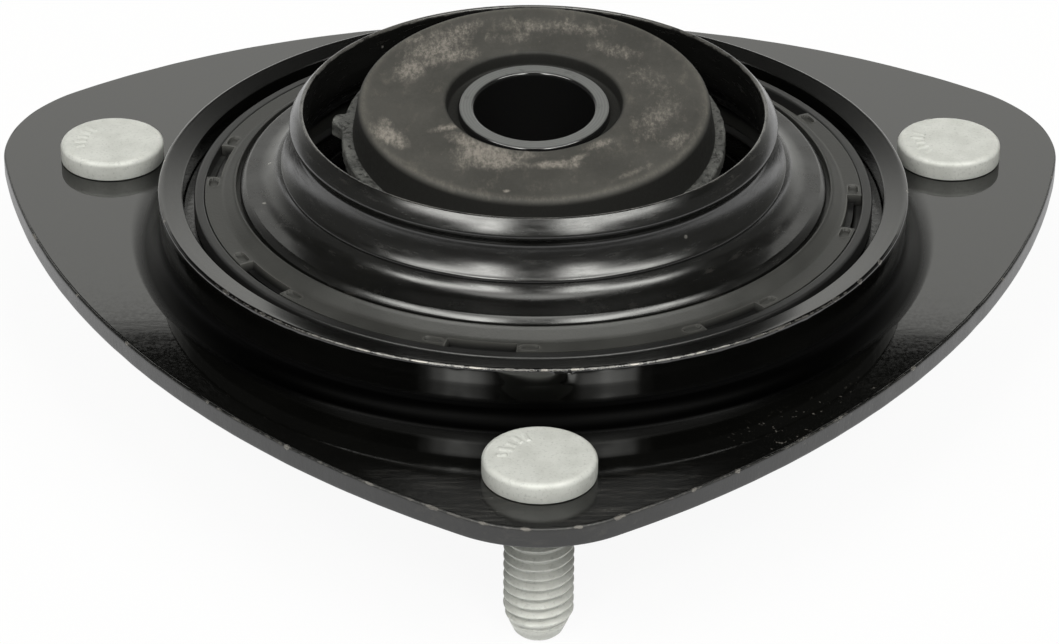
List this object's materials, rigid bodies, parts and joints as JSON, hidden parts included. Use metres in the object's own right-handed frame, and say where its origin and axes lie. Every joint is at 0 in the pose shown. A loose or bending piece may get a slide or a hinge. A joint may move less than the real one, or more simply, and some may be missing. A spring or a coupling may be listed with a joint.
{
  "type": "strut mount",
  "caption": "Triangular strut top mount with press-in studs, a collared bearing, a lipped spring seat dome and a leaning rubber bush with a steel sleeve.",
  "frame": {"origin": "where the strut axis crosses the bearing axis, in the plane of the face that bolts up under the body", "axes": "+Z along the bearing axis towards the spring, studs point to -Z, the front stud is at -Y and the strut axis leans to -Y"},
  "size_m": [0.1318, 0.1241, 0.0418],
  "materials": {
    "black_coated_steel": "gloss electrocoat",
    "weld_metal": "coated weld bead",
    "zinc_flake": "matte zinc flake",
    "black_plastic": "satin",
    "cage_plastic": "natural",
    "bearing_steel": "ground",
    "seal_rubber": "matte",
    "dome_steel": "satin black",
    "sleeve_steel": "phosphated",
    "stop_plate_steel": "rough primer",
    "bush_rubber": "matte, scuffed"
  },
  "bodies": {
    "mount": {"mounting_plate": "black_coated_steel", "stud_front": "zinc_flake", "stud_left": "zinc_flake", "stud_right": "zinc_flake", "bearing_pan": "black_coated_steel", "weld_seams": "weld_metal", "bush_cup": "black_coated_steel", "bearing_cap": "black_plastic", "upper_race": "bearing_steel", "outer_seal": "seal_rubber", "inner_seal": "seal_rubber", "rubber_bush": "bush_rubber", "bump_pad": "bush_rubber", "stop_plate": "stop_plate_steel", "inner_sleeve": "sleeve_steel"},
    "cage_set": {"ball_cage": "cage_plastic", "bearing_balls": "bearing_steel"},
    "spring_side": {"support_ring": "black_plastic", "lower_race": "bearing_steel", "spring_seat_dome": "dome_steel"}
  },
  "joints": [
    {"name": "bearing_turn", "type": "hinge", "parent": "mount", "child": "spring_side", "pos_m": [0, 0, 0], "axis": [0, 0, 1], "continuous": true},
    {"name": "cage_turn", "type": "hinge", "parent": "mount", "child": "cage_set", "pos_m": [0, 0, 0], "axis": [0, 0, 1], "continuous": true}
  ],
  "couplings": [
    {"joint": "cage_turn", "follows": "bearing_turn", "ratio": 0.5}
  ]
}
